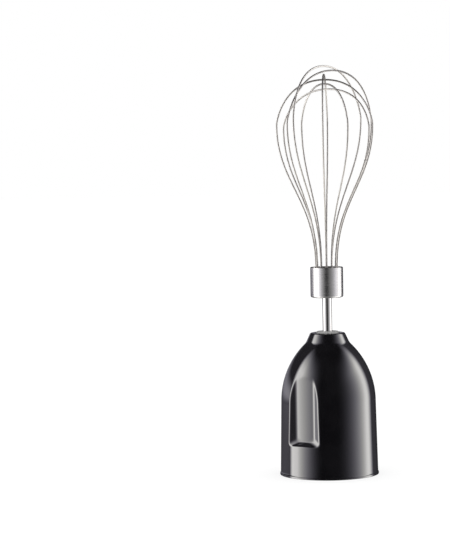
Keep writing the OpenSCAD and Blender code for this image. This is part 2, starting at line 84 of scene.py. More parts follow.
class BellProps(bpy.types.PropertyGroup):
    """Sizes of the bell, and its black"""

    lip_proud: FloatProperty(
        name="Lip stands out", description="How far the rim's lip stands out of the bell",
        default=0.35 * MM, unit="LENGTH")
    lip_height: FloatProperty(
        name="Lip height", description="Height of the rim's lip",
        default=1.4 * MM, unit="LENGTH")
    draft: FloatProperty(
        name="Draft", description="How much narrower the skirt is at its top than at its rim",
        default=1.0 * MM, unit="LENGTH")
    dome_height: FloatProperty(
        name="Dome height", description="Height over which the bell closes",
        default=43.6 * MM, unit="LENGTH")
    dome_radius: FloatProperty(
        name="Dome radius", description="Radius of the dome's arc",
        default=51 * MM, unit="LENGTH")
    collar_radius: FloatProperty(
        name="Collar radius", description="Radius of the collar at its top edge",
        default=11.25 * MM, unit="LENGTH")
    collar_slope: FloatProperty(
        name="Collar slope", description="How much the collar widens for each unit down",
        default=0.468)
    collar_edge: FloatProperty(
        name="Collar edge", description="Rounding of the collar's top edge",
        default=0.8 * MM, unit="LENGTH")
    collar_fillet: FloatProperty(
        name="Collar fillet", description="Radius of the blend from dome to collar",
        default=6 * MM, unit="LENGTH")
    hole_radius: FloatProperty(
        name="Hole radius", description="Radius of the collar's hole",
        default=7.7 * MM, unit="LENGTH")
    wall: FloatProperty(
        name="Wall", description="Thickness of the bell's wall",
        default=2.6 * MM, unit="LENGTH")
    recess_floor_y: FloatProperty(
        name="Recess floor", description="Distance of a grip recess's floor from the axis",
        default=27.1 * MM, unit="LENGTH")
    recess_floor: FloatProperty(
        name="Recess floor width", description="Width of a grip recess's floor",
        default=13 * MM, unit="LENGTH")
    recess_crown: FloatProperty(
        name="Recess floor radius", description="Radius of a grip recess's crowned floor",
        default=50 * MM, unit="LENGTH")
    recess_spread: FloatProperty(
        name="Recess side spread",
        description="How far a recess's side runs out for each unit of depth",
        default=2.9)
    recess_foot: FloatProperty(
        name="Recess foot", description="Height of a grip recess's lower rim",
        default=20.3 * MM, unit="LENGTH")
    recess_foot_slope: FloatProperty(
        name="Recess foot slope",
        description="How far a recess's foot runs out for each unit down",
        default=1.19)
    black: FloatVectorProperty(
        name="Black", description="Colour of the bell's plastic",
        default=(0.0028, 0.0026, 0.0032), subtype="COLOR", min=0, max=1)


class WhiskProps(bpy.types.PropertyGroup):
    """Sizes of the wires, and the steel's colour"""

    wire: FloatProperty(
        name="Wire", description="Diameter of the wire",
        default=1.1 * MM, unit="LENGTH")
    ends_radius: FloatProperty(
        name="Ends circle", description="Radius of the circle that the wire ends stand on",
        default=6.7 * MM, unit="LENGTH")
    balloon: FloatProperty(
        name="Balloon", description="Largest diameter of the balloon, on the wires' centre lines",
        default=60.6 * MM, unit="LENGTH")
    turn: FloatProperty(
        name="Turn", description="How far the wires are turned about the axis",
        default=math.radians(32), subtype="ANGLE")
    sides: IntProperty(
        name="Sides", description="Sides of the wire's round section",
        default=20, min=6, max=64)
    steel: FloatVectorProperty(
        name="Steel", description="Colour of the wires' steel",
        default=(0.52, 0.503, 0.478), subtype="COLOR", min=0, max=1)


class StudioProps(bpy.types.PropertyGroup):
    """The camera's place and the stage"""

    turn: FloatProperty(
        name="Turn", description="How far the camera stands round the object from its -Y side",
        default=math.radians(32), subtype="ANGLE")
    distance: FloatProperty(
        name="Distance", description="Distance of the camera from the axis",
        default=1.5, unit="LENGTH")
    aside: FloatProperty(
        name="Aside", description="How far the camera stands to the right of the axis",
        default=0.040, unit="LENGTH")
    height: FloatProperty(
        name="Height", description="Height of the camera above the floor",
        default=0.222, unit="LENGTH")
    pan: FloatProperty(
        name="Pan", description="How far the camera looks to the left of the axis's direction",
        default=math.radians(3.985), subtype="ANGLE")
    tilt: FloatProperty(
        name="Tilt", description="How far the camera looks down",
        default=math.radians(3.59), subtype="ANGLE")
    roll: FloatProperty(
        name="Roll", description="How far the camera leans",
        default=math.radians(1.0), subtype="ANGLE")
    focal_heights: FloatProperty(
        name="Focal length", description="Focal length in heights of the camera's sensor",
        default=4.3224)
    fill: FloatProperty(
        name="Fill light", description="Strength of the even light on everything but reflections",
        default=1.15)
    boxes: FloatProperty(
        name="Soft boxes", description="Strength of the soft boxes that reflections show",
        default=3.6)
    front: FloatProperty(
        name="Front panels",
        description="Strength of the panels that light the rod and the ferrule from the front",
        default=0.8)
    floor: FloatVectorProperty(
        name="Floor", description="Colour of the floor",
        default=(0.3, 0.3, 0.3), subtype="COLOR", min=0, max=1)


# ---------------------------------------------------------------- shader graphs in Python

class Sock:
    """An output socket. Python's operators on it add Math nodes."""

    def __init__(self, graph, socket):
        self.graph = graph
        self.socket = socket

    def _math(self, operation, *values):
        return self.graph.node("ShaderNodeMath", {"operation": operation}, *values)

    def __add__(self, other):
        return self._math("ADD", self, other)

    def __radd__(self, other):
        return self._math("ADD", other, self)

    def __sub__(self, other):
        return self._math("SUBTRACT", self, other)

    def __rsub__(self, other):
        return self._math("SUBTRACT", other, self)

    def __mul__(self, other):
        return self._math("MULTIPLY", self, other)

    def __rmul__(self, other):
        return self._math("MULTIPLY", other, self)

    def __truediv__(self, other):
        return self._math("DIVIDE", self, other)

    def __pow__(self, other):
        return self._math("POWER", self, other)

    def __abs__(self):
        return self._math("ABSOLUTE", self)


class Graph:
    """A node tree whose nodes are made by one method."""

    def __init__(self, tree):
        self.tree = tree

    def node(self, kind, settings=None, *values, out=0, **named):
        """Adds a node: its settings first, then its inputs by order or by name."""
        made = self.tree.nodes.new(kind)
        for key, value in (settings or {}).items():
            if key == "stops":
                self._stops(made.color_ramp, value)
            else:
                setattr(made, key, value)
        for index, value in enumerate(values):
            self.feed(made.inputs[index], value)
        for key, value in named.items():
            self.feed(made.inputs[key.replace("_", " ")], value)
        return Sock(self, made.outputs[out])

    def feed(self, socket, value):
        """Links a Sock to the socket, or sets its value."""
        if isinstance(value, Sock):
            self.tree.links.new(value.socket, socket)
        else:
            socket.default_value = value

    def _stops(self, ramp, stops):
        while len(ramp.elements) > 1:
            ramp.elements.remove(ramp.elements[-1])
        for index, (place, colour) in enumerate(stops):
            element = ramp.elements[0] if index == 0 else ramp.elements.new(place)
            element.position = place
            element.color = rgba(colour)

    def coords(self, scale=(1, 1, 1)):
        """The piece's own coordinates, in metres times scale."""
        place = self.node("ShaderNodeTexCoord", out=3)
        return self.node("ShaderNodeMapping", {}, Vector=place, Scale=scale)

    def noise(self, vector, scale, detail=2.0, rough=0.5):
        """Soft noise, scale being its spots per metre."""
        return self.node("ShaderNodeTexNoise", {}, Vector=vector, Scale=scale, Detail=detail,
                         Roughness=rough)

    def ramp(self, value, *stops):
        """A colour from (place, colour) stops."""
        return self.node("ShaderNodeValToRGB", {"stops": stops}, value)

    def map(self, value, low, high, to_low=0.0, to_high=1.0):
        """Smooth step from to_low, at low, to to_high, at high; level outside."""
        return self.node("ShaderNodeMapRange", {"interpolation_type": "SMOOTHSTEP"},
                         value, low, high, to_low, to_high)

    def clamped(self, value):
        """The value, held between 0 and 1."""
        return self.node("ShaderNodeMath", {"operation": "ADD", "use_clamp": True}, value, 0.0)

    def mix(self, factor, a, b):
        """A colour between a and b."""
        made = self.tree.nodes.new("ShaderNodeMix")
        made.data_type = "RGBA"
        for index, value in ((0, factor), (6, a), (7, b)):      # the colours' own inputs
            self.feed(made.inputs[index], value)
        return Sock(self, made.outputs[2])

    def bump(self, height, distance, strength):
        return self.node("ShaderNodeBump", {}, Height=height, Distance=distance,
                         Strength=strength)


def rgba(colour):
    return (*colour, 1.0)


def material(name, build):
    """A material whose Principled shader build() feeds. Build returns its inputs by name."""
    made = bpy.data.materials.new(name)
    made.use_nodes = True
    made.node_tree.nodes.clear()
    graph = Graph(made.node_tree)
    inputs = build(graph)
    shader = made.node_tree.nodes.new("ShaderNodeBsdfPrincipled")
    for key, value in inputs.items():
        graph.feed(shader.inputs[key], value)
    output = made.node_tree.nodes.new("ShaderNodeOutputMaterial")
    made.node_tree.links.new(shader.outputs[0], output.inputs[0])
    return made


# ---------------------------------------------------------------- mesh helpers

def arc(centre, radius, start, end, steps):
    """Points on an arc in the r-z plane, angles in degrees, both ends included."""
    points = []
    for i in range(steps + 1):
        angle = math.radians(start + (end - start) * i / steps)
        points.append((centre[0] + radius * math.cos(angle), centre[1] + radius * math.sin(angle)))
    return points


def line(a, b, steps):
    """Points on a straight line from a towards b, b left out."""
    return [(a[0] + (b[0] - a[0]) * i / steps, a[1] + (b[1] - a[1]) * i / steps)
            for i in range(steps)]


def lathe(name, profile, angles, shape=None):
    """A closed outline of (r, z) points turned about the Z axis.

    shape(row, r, z, angle) gives the radius of the row's point in that direction."""
    mesh = bpy.data.meshes.new(name)
    builder = bmesh.new()
    columns = []
    for angle in angles:
        column = []
        for row, (r, z) in enumerate(profile):
            radius = shape(row, r, z, angle) if shape else r
            column.append(builder.verts.new(
                (radius * math.cos(angle), radius * math.sin(angle), z)))
        columns.append(column)
    rows = len(profile)
    for i, column in enumerate(columns):
        after = columns[(i + 1) % len(columns)]
        for j in range(rows):
            k = (j + 1) % rows
            builder.faces.new((column[j], after[j], after[k], column[k]))
    bmesh.ops.remove_doubles(builder, verts=builder.verts, dist=1e-7)
    bmesh.ops.recalc_face_normals(builder, faces=builder.faces)
    for face in builder.faces:
        face.smooth = True
    builder.to_mesh(mesh)
    builder.free()
    return add_piece(name, mesh)


def add_piece(name, mesh):
    piece = bpy.data.objects.new(name, mesh)
    bpy.context.scene.collection.objects.link(piece)
    return piece


def even_angles(count):
    return [2 * math.pi * i / count for i in range(count)]


def finish_piece(piece, body, look, node):
    """Gives a piece its material, attaches it to the body it rides on and hides the node it stands
    for.
    """
    piece.data.materials.clear()
    piece.data.materials.append(look)
    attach(piece, body)
    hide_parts(node)


def smooth_min(a, b, k):
    """The lower of a and b, with a rounded corner about k wide between them."""
    h = max(k - abs(a - b), 0.0) / k
    return min(a, b) - h * h * k / 4


def smooth_max(a, b, k):
    """The higher of a and b, with a rounded corner about k wide between them."""
    return -smooth_min(-a, -b, k)


# ---------------------------------------------------------------- materials

def gloss_black(bell):
    """Polished black plastic: almost even, with faint flow in its gloss and hair-fine scuffs."""
    def build(graph):
        place = graph.coords()
        flow = graph.noise(place, 60.0, 3.0)
        grain = graph.noise(place, 900.0, 2.0)
        scuffs = graph.noise(graph.coords((1.0, 1.0, 0.08)), 1400.0, 1.0)
        scuffed = graph.map(scuffs, 0.66, 0.8)
        deep = rgba(bell.black)
        pale = rgba([c * 1.5 + 0.0006 for c in bell.black])
        return {
            "Base Color": graph.mix(graph.map(flow, 0.35, 0.7), deep, pale),
            "Roughness": 0.075 + graph.map(flow, 0.3, 0.7, 0.0, 0.03) + scuffed * 0.05,
            "IOR": 1.8,
            "Coat Weight": 1.0,
            "Coat Roughness": 0.03,
            "Coat IOR": 1.6,
            "Normal": graph.bump(grain, 0.000002, 0.25),
        }
    return material("gloss_black", build)


def drawn_wire(whisk):
    """Drawn steel wire, with fine streaks and small dull spots."""
    def build(graph):
        streaks = graph.noise(graph.coords((1, 1, 0.1)), 3000.0, 2.0)
        dull = graph.map(graph.noise(graph.coords(), 260.0, 3.0), 0.5, 0.75)
        bright = rgba(whisk.steel)
        dark = rgba([c * 0.8 for c in whisk.steel])
        return {
            "Base Color": graph.mix(dull * 0.7, bright, dark),
            "Metallic": 1.0,
            "Roughness": 0.34 + dull * 0.06 + graph.map(streaks, 0.4, 0.7, 0.0, 0.06),
            "Normal": graph.bump(streaks, 0.000004, 0.3),
        }
    return material("drawn_wire", build)


def turned_steel(name, colour, rough, groove):
    """Steel turned on a lathe: fine rings round the axis, groove metres deep, and clouds."""
    def build(graph):
        rings = graph.noise(graph.coords((0.02, 0.02, 1.0)), 9000.0, 3.0, 0.7)
        broad = graph.noise(graph.coords((0.05, 0.05, 1.0)), 1500.0, 2.0)
        clouds = graph.noise(graph.coords(), 120.0, 3.0)
        shade = graph.map(rings, 0.3, 0.7)
        return {
            "Base Color": graph.mix(shade * 0.5 + graph.map(clouds, 0.4, 0.7) * 0.2,
                                    rgba(colour), rgba([c * 0.86 for c in colour])),
            "Metallic": 1.0,
            "Roughness": rough + graph.map(rings, 0.35, 0.65, -0.03, 0.03)
            + graph.map(broad, 0.4, 0.6, 0.0, 0.03),
            "Normal": graph.bump(rings, groove, 0.35),
        }
    return material(name, build)


def moulded(name, colour, rough):
    """Satin moulded plastic with a fine spark-eroded grain."""
    def build(graph):
        place = graph.coords()
        fine = graph.noise(place, 2200.0, 2.0)
        clouds = graph.noise(place, 90.0, 3.0)
        return {
            "Base Color": graph.mix(graph.map(clouds, 0.35, 0.7) * 0.35,
                                    rgba(colour), rgba([c * 0.86 for c in colour])),
            "Roughness": rough + graph.map(fine, 0.3, 0.7, -0.04, 0.05),
            "Normal": graph.bump(fine, 0.00001, 0.4),
        }
    return material(name, build)


def sintered_bronze():
    """Oil-filled bronze bush: dark pores in a warm grey metal."""
    def build(graph):
        place = graph.coords()
        pores = graph.node("ShaderNodeTexVoronoi", {}, Vector=place, Scale=2600.0)
        pore = graph.map(pores, 0.1, 0.35, 1.0, 0.0)
        clouds = graph.noise(place, 200.0, 2.0)
        return {
            "Base Color": graph.mix(pore * 0.7, graph.mix(clouds, (0.45, 0.31, 0.16, 1),
                                                          (0.55, 0.4, 0.22, 1)),
                                    (0.12, 0.08, 0.05, 1)),
            "Metallic": 0.9,
            "Roughness": 0.42 + pore * 0.2,
            "Normal": graph.bump(pore, -0.00002, 0.5),
        }
    return material("sintered_bronze", build)


def seal_rubber():
    """Matte black seal rubber with a dusty bloom."""
    def build(graph):
        place = graph.coords()
        bloom = graph.noise(place, 300.0, 4.0)
        fine = graph.noise(place, 3000.0, 2.0)
        return {
            "Base Color": graph.mix(graph.map(bloom, 0.45, 0.75) * 0.5,
                                    (0.012, 0.012, 0.013, 1), (0.035, 0.034, 0.034, 1)),
            "Roughness": 0.6 + graph.map(fine, 0.3, 0.7, -0.06, 0.08),
            "Normal": graph.bump(fine, 0.00001, 0.4),
        }
    return material("seal_rubber", build)


def zinc_plate():
    """Bright zinc plating with faint yellow and blue clouds."""
    def build(graph):
        place = graph.coords()
        clouds = graph.noise(place, 420.0, 3.0)
        pits = graph.noise(place, 3200.0, 2.0)
        return {
            "Base Color": graph.ramp(clouds, (0.3, (0.58, 0.6, 0.66)),
                                     (0.5, (0.66, 0.66, 0.64)), (0.7, (0.68, 0.63, 0.52))),
            "Metallic": 1.0,
            "Roughness": 0.3 + graph.map(pits, 0.35, 0.7, -0.05, 0.1),
            "Normal": graph.bump(pits, 0.000006, 0.4),
        }
    return material("zinc_plate", build)


# ---------------------------------------------------------------- the bell

# Inside of the collar: depth of the seal's and of the bush's seat, their radius, the boss's
SEAL_DEPTH, BUSH_DEPTH, BUSH_RADIUS, BOSS_RADIUS = 2 * MM, 16 * MM, 9.3 * MM, 12.5 * MM
# Heights and directions that hold a grip recess, with some room round it
RECESS_LOW, RECESS_HIGH, RECESS_REACH = 9 * MM, 72 * MM, math.radians(40)
# Roundings of a grip recess: at its rim, between foot and sides, and round its floor
RECESS_RIM, RECESS_CORNER, RECESS_EDGE = 0.45 * MM, 3.2 * MM, 0.5 * MM
RECESS_THINNING = 0.6 * MM              # the wall behind a recess is this much thinner


def fillet_centre(bell, skirt_top):
    """Centre of the blend that touches the dome's arc and the collar's cone from outside."""
    height = BELL_HIGH[2]
    length = math.hypot(1, bell.collar_slope)
    normal = Vector((1 / length, bell.collar_slope / length))
    along = Vector((-normal[1], normal[0]))
    dome = Vector((skirt_top - bell.dome_radius, height - bell.dome_height))
    edge = Vector((bell.collar_radius, height - bell.collar_edge))
    out = normal.dot(edge) + bell.collar_fillet - normal.dot(dome)
    reach = bell.dome_radius + bell.collar_fillet
    return dome + out * normal + math.sqrt(reach * reach - out * out) * along, dome, normal


def bell_outline(bell):
    """Outer outline from the rim up to the collar's hole, then the inner one back down.

    Returns the points and the number of them that lie outside."""
    height = BELL_HIGH[2]
    lip_r = BELL_HIGH[0]
    rim_r = lip_r - bell.lip_proud
    skirt_top = rim_r - bell.draft
    dome_z = height - bell.dome_height
    centre, dome, normal = fillet_centre(bell, skirt_top)
    touch = dome + (centre - dome) * bell.dome_radius / (bell.dome_radius + bell.collar_fillet)
    leave = centre - normal * bell.collar_fillet
    dome_end = math.degrees(math.atan2(touch[1] - dome[1], touch[0] - dome[0]))
    fillet_end = math.degrees(math.atan2(leave[1] - centre[1], leave[0] - centre[0]))
    edge = bell.collar_edge
    top_edge = (bell.collar_radius, height - edge)
    slope_angle = math.degrees(math.atan2(normal[1], normal[0]))
    edge_r = edge / (1 - normal[1]) * 0.9              # nine tenths of the largest that fits
    top_centre = (top_edge[0] - edge_r * normal[0], height - edge_r)

    def skirt(z):
        return (rim_r - bell.draft * z / dome_z, z)

    lip, bevel = 0.3 * MM, 0.4 * MM                    # roundings of the lip and of the hole
    # Rows lie close together over the recesses' feet and over their run-out in the dome
    foot_low, foot_high, runout = 13 * MM, 24 * MM, 24
    outside = arc((lip_r - lip, lip), lip, -90, 0, 4)
    outside += arc((lip_r - lip, bell.lip_height - lip), lip, 0, 80, 4)
    outside += line(skirt(bell.lip_height + 0.05 * MM), skirt(foot_low), 14)
    outside += line(skirt(foot_low), skirt(foot_high), 34)
    outside += line(skirt(foot_high), skirt(dome_z), 26)
    outside += arc(dome, bell.dome_radius, 0, runout, 40)
    outside += arc(dome, bell.dome_radius, runout + 0.6, dome_end, 26)
    fillet_end = fillet_end % 360                      # so that the arc takes the short way
    outside += arc(centre, bell.collar_fillet, 180 + dome_end, fillet_end, 10)[1:]
    outside += arc(top_centre, edge_r, slope_angle, 90, 8)
    hole = bell.hole_radius
    outside += arc((hole + bevel, height - bevel), bevel, 90, 180, 5)

    inner_r, inner_top = rim_r - bell.wall, skirt_top - bell.wall
    inner_dome = bell.dome_radius - bell.wall
    seal_z, bush_z = height - SEAL_DEPTH, height - BUSH_DEPTH
    boss_touch = math.degrees(math.acos((BOSS_RADIUS - dome[0]) / inner_dome))
    inside = [(hole, seal_z), (BUSH_RADIUS, seal_z), (BUSH_RADIUS, bush_z),
              (BOSS_RADIUS, bush_z),
              (BOSS_RADIUS, dome[1] + inner_dome * math.sin(math.radians(boss_touch)))]
    inside += arc(dome, inner_dome, boss_touch - 1, 0, 20)
    inside += line((inner_top, dome_z), (inner_r, bevel), 40)[1:]
    inside += [(inner_r, bevel), (inner_r + bevel, 0.0)]
    return outside + inside, len(outside)


def recess_radius(bell, z, angle, set_in):
    """Distance from the axis to a grip recess's surface less set_in, along a direction.

    None where no recess lies. The recesses face along the Y axis, to either side."""
    from_y = (angle - math.pi / 2) % math.pi
    if from_y > math.pi / 2:
        from_y -= math.pi
    if abs(from_y) > RECESS_REACH or not RECESS_LOW <= z <= RECESS_HIGH:
        return None
    across, along = abs(math.sin(from_y)), math.cos(from_y)
    crown = bell.recess_crown
    centre = bell.recess_floor_y - crown
    floor = centre * along + math.sqrt(crown * crown - (centre * across) ** 2)
    half = bell.recess_floor / 2
    edge_y = centre + math.sqrt(crown * crown - half * half)
    side = (edge_y - half / bell.recess_spread) / (along - across / bell.recess_spread)
    rim = BELL_HIGH[0] - bell.lip_proud - bell.draft * bell.recess_foot / (
        BELL_HIGH[2] - bell.dome_height)
    foot = rim + (bell.recess_foot - z) * bell.recess_foot_slope
    walls = smooth_max(side, foot, RECESS_CORNER)
    return smooth_max(floor, walls, RECESS_EDGE) - set_in


def bell_angles():
    """Directions round the bell, close together over the grip recesses."""
    reach, close, wide = 28, 0.5, 2                    # degrees
    angles = []
    for centre in (90, 270):
        angles += [centre - reach + close * i for i in range(int(2 * reach / close))]
        angles += [centre + reach + wide * i for i in range((180 - 2 * reach) // wide)]
    return [math.radians(angle) for angle in angles]


class WHISK_OT_bell(bpy.types.Operator):
    """Bell-shaped housing with its two grip recesses"""

    bl_idname = "whisk.bell"
    bl_label = "Bell housing"

    def execute(self, context):
        bell = context.scene.whisk_bell
        outline, outer = bell_outline(bell)
        behind = bell.wall - RECESS_THINNING

        def recessed(row, r, z, angle):
            recess = recess_radius(bell, z, angle, 0.0 if row < outer else behind)
            return r if recess is None else smooth_min(r, recess, RECESS_RIM)

        piece = lathe("bell_shell", outline, bell_angles(), recessed)
        finish_piece(piece, "base", gloss_black(bell), "housing")
        return {"FINISHED"}


# ---------------------------------------------------------------- hub, rod and ferrule

class WHISK_OT_hub(bpy.types.Operator):
    """Finish of the output hub that stands out of the collar"""

    bl_idname = "whisk.hub"
    bl_label = "Output hub"

    def execute(self, context):
        look = moulded("hub_grey", (0.36, 0.36, 0.355), 0.38)
        for slot in frame["nodes"]["output_hub"].material_slots:
            slot.material = look
        return {"FINISHED"}


class WHISK_OT_rod(bpy.types.Operator):
    """Polished rod with its snap groove and its hexagonal end"""

    bl_idname = "whisk.rod"
    bl_label = "Whisk rod"

    def execute(self, context):
        radius, bevel = ROD_HIGH[0], 0.3 * MM
        bottom, top = ROD_LOW[2], ROD_HIGH[2]
        shoulder = bottom + 10 * MM                    # where the hexagon ends
        groove_low = HUB_HIGH[2] - 7.5 * MM            # where the hub's snap ring lies
        groove_high = groove_low + 1.2 * MM
        groove_r = radius - 0.4 * MM
        edge = 0.04 * MM                               # rings beside an edge keep faces flat
        step = 0.01 * MM                               # height in which hexagon turns round
        outline = [(0.0, bottom), (radius - bevel, bottom), (radius, bottom + bevel)]
        outline += line((radius, bottom + bevel + edge), (radius, shoulder - edge), 3)
        outline += [(radius, shoulder - edge), (radius, shoulder - step), (radius, shoulder)]
        outline += line((radius, shoulder + edge), (radius, groove_low - edge), 3)
        outline += [(radius, groove_low - edge), (radius, groove_low),
                    (groove_r, groove_low), (groove_r, groove_low + edge),
                    (groove_r, groove_high - edge), (groove_r, groove_high),
                    (radius, groove_high)]
        outline += line((radius, groove_high + edge), (radius, top), 12)
        outline += [(radius, top), (0.0, top)]

        def hexagon(row, r, z, angle):
            if z >= shoulder - step / 2:
                return r
            half_side = math.radians(30)
            flat = radius * math.cos(half_side)
            turn = (angle + half_side) % (2 * half_side) - half_side
            return min(r, flat / math.cos(turn - math.copysign(half_side, turn)))

        piece = lathe("whisk_rod", outline, even_angles(96), hexagon)
        finish_piece(piece, "whisk",
                     turned_steel("rod_steel", (0.55, 0.54, 0.53), 0.1, 0.000003),
                     "whisk_shaft")
        return {"FINISHED"}


class WHISK_OT_ferrule(bpy.types.Operator):
    """Brushed cup that gathers the wires"""

    bl_idname = "whisk.ferrule"
    bl_label = "Ferrule"

    def execute(self, context):
        radius = FERRULE_HIGH[0]
        low, high = FERRULE_LOW[2], FERRULE_HIGH[2]
        hole = ROD_HIGH[0] + 0.05 * MM
        wall, foot, mouth = 0.8 * MM, 1.3 * MM, 0.38 * MM   # foot and mouth: roundings
        outline = [(hole, low), (hole + 0.1 * MM, low)]
        outline += arc((radius - foot, low + foot), foot, -90, 0, 12)
        outline += line((radius, low + foot + 0.2 * MM), (radius, high - mouth - 0.2 * MM), 10)
        outline += arc((radius - mouth, high - mouth), mouth, 0, 180, 12)
        outline += [(radius - wall, high - 1.2 * MM), (radius - wall, low + wall),
                    (hole, low + wall)]
        piece = lathe("ferrule_cup", outline, even_angles(144))
        finish_piece(piece, "whisk",
                     turned_steel("ferrule_steel", (0.5, 0.495, 0.49), 0.27, 0.000004),
                     "ferrule")
        return {"FINISHED"}


# ---------------------------------------------------------------- wires

# Each loop: direction of its first end; directions in which its right and left halves bulge,
# in degrees; how far its bulge and its apex lie below the highest apex, and how far its apex
# leans to the right, in millimetres
LOOPS = (
    (60, 41.5, 232, 33, 0, 0),
    (30, 14, 221.5, 36, 2.8, 6),
    (0, -3, 177, 37, 8.6, 0),
    (-60, -60, 120.5, 37, 11.2, 0),
    (-30, -22, 151, 39, 14.6, 2.5),
    (90, 88, 269.6, 35, 5.3, 0),
)
# Lengths of the curves' handles: up from the ferrule, down and up from the bulge,
# and sideways from the apex
RISE, FALL, CROWN, SPAN = 43 * MM, 36 * MM, 4 * MM, 25 * MM
SUNK = 14 * MM                          # how deep the wires' ends stand in the ferrule's core
CURVE_STEPS = 48


def polar(radius, degrees, z):
    """A point by its distance from the axis, its direction and its height."""
    angle = math.radians(degrees)
    return Vector((radius * math.cos(angle), radius * math.sin(angle), z))


def bezier(p, t):
    """The point at t, from 0 to 1, on the cubic curve with the four control points p."""
    s = 1 - t
    return s ** 3 * p[0] + 3 * s * s * t * p[1] + 3 * s * t * t * p[2] + t ** 3 * p[3]


def half_loop(whisk, end, bulge, apex, along):
    """Centre line of half a loop, from its end in the core up to its apex."""
    foot = polar(whisk.ends_radius, end, FERRULE_HIGH[2])
    up = Vector((0, 0, 1))
    lower = (foot, foot + RISE * up, bulge - FALL * up, bulge)
    upper = (bulge, bulge + CROWN * up, apex + SPAN * along, apex)
    path = [polar(whisk.ends_radius, end, FERRULE_HIGH[2] - SUNK)]
    path += [bezier(lower, i / CURVE_STEPS) for i in range(CURVE_STEPS)]
    path += [bezier(upper, i / CURVE_STEPS) for i in range(CURVE_STEPS + 1)]
    return path


def loop_path(whisk, loop, top):
    """Centre line of a whole loop, top being the height of the highest one."""
    end, right_a, left_a, drop, apex_drop, lean = loop
    right = polar(whisk.balloon / 2, right_a, top - drop * MM)
    left = polar(whisk.balloon / 2, left_a, top - drop * MM)
    along = (right - left).normalized()
    apex = Vector((0, 0, top - apex_drop * MM)) + lean * MM * along
    first = half_loop(whisk, end, right, apex, along)
    second = half_loop(whisk, end + 180, left, apex, -along)
    turned = Matrix.Rotation(whisk.turn, 3, "Z")
    return [turned @ p for p in first + second[-2::-1]]


def wire_tree(look):
    """Geometry Nodes: a round wire along a path, with closed ends."""
    tree = bpy.data.node_groups.new("round_wire", "GeometryNodeTree")
    face = tree.interface
    face.new_socket("Path", in_out="INPUT", socket_type="NodeSocketGeometry")
    face.new_socket("Wire radius", in_out="INPUT", socket_type="NodeSocketFloat")
    face.new_socket("Sides", in_out="INPUT", socket_type="NodeSocketInt")
    face.new_socket("Wire", in_out="OUTPUT", socket_type="NodeSocketGeometry")
    graph = Graph(tree)
    given = tree.nodes.new("NodeGroupInput")
    path, radius, sides = (Sock(graph, given.outputs[i]) for i in range(3))
    curve = graph.node("GeometryNodeMeshToCurve", {}, path)
    ring = graph.node("GeometryNodeCurvePrimitiveCircle", {"mode": "RADIUS"},
                      Resolution=sides, Radius=radius)
    tube = graph.node("GeometryNodeCurveToMesh", {}, Curve=curve, Profile_Curve=ring,
                      Fill_Caps=True)
    smooth = graph.node("GeometryNodeSetShadeSmooth", {}, Geometry=tube, Shade_Smooth=True)
    real = graph.node("GeometryNodeRealizeInstances", {}, smooth)
    made = graph.node("GeometryNodeSetMaterial", {}, Geometry=real, Material=look)
    output = tree.nodes.new("NodeGroupOutput")
    tree.links.new(made.socket, output.inputs[0])
    return tree


def made_plain(name, source, tree, values):
    """Runs a node tree on source and keeps the result as a plain mesh."""
    modifier = source.modifiers.new("nodes", "NODES")
    modifier.node_group = tree
    for item in tree.interface.items_tree:
        if item.item_type == "SOCKET" and item.in_out == "INPUT" and item.name in values:
            modifier[item.identifier] = values[item.name]
    graph = bpy.context.evaluated_depsgraph_get()
    mesh = bpy.data.meshes.new_from_object(source.evaluated_get(graph))
    mesh.name = name
    bpy.data.objects.remove(source)
    return add_piece(name, mesh)


class WHISK_OT_wires(bpy.types.Operator):
    """Six wire loops"""

    bl_idname = "whisk.wires"
    bl_label = "Wire loops"

    def execute(self, context):
        whisk = context.scene.whisk_wires
        look = drawn_wire(whisk)
        tree = wire_tree(look)
        tops = [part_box("whisk_wire_%d" % (i + 1))[1][2] for i in range(len(LOOPS))]
        top = max(tops) - whisk.wire / 2
        for i, loop in enumerate(LOOPS):
            path = loop_path(whisk, loop, top)
            mesh = bpy.data.meshes.new("path")
            mesh.from_pydata(path, [(k, k + 1) for k in range(len(path) - 1)], [])
            source = add_piece("path", mesh)
            piece = made_plain("wire_loop_%d" % (i + 1), source, tree,
                               {"Wire radius": whisk.wire / 2, "Sides": whisk.sides})
            finish_piece(piece, "whisk", look, "whisk_wire_%d" % (i + 1))
        return {"FINISHED"}


# ---------------------------------------------------------------- CAD nodes that stay

def mechanism_looks():
    """Finish of each CAD node that stays as it is."""
    gears = moulded("gear_acetal", (0.74, 0.72, 0.66), 0.35)
    box = moulded("gearbox_plastic", (0.62, 0.62, 0.6), 0.42)
    steel = turned_steel("ground_steel", (0.6, 0.6, 0.61), 0.22, 0.000004)
    bronze = sintered_bronze()
    zinc = zinc_plate()
    spring = turned_steel("spring_steel", (0.2, 0.205, 0.22), 0.3, 0.000006)
    return {
        "coupling_collar": moulded("collar_black", (0.03, 0.03, 0.032), 0.4),
        "collar_screws": zinc, "case_screws": zinc,
        "gear_cover": box, "gear_case": box,
        "input_bush": bronze, "neck_bush": bronze, "output_bush": bronze,
        "shaft_seal": seal_rubber(),
        "drive_coupling": moulded("coupling_grey", (0.45, 0.45, 0.44), 0.38),
        "sun_shaft": steel, "planet_pins": steel,
        "input_washer": steel, "carrier_ring": steel, "carrier_plate": steel,
        "sun_gear": gears,
        "planet_gear_1": gears, "planet_gear_2": gears, "planet_gear_3": gears,
        "thrust_washer": moulded("washer_white", (0.78, 0.78, 0.76), 0.4),
        "hub_circlip": spring, "retaining_ring": spring,
        "ferrule_plug": moulded("core_dark", (0.06, 0.06, 0.062), 0.45),
    }


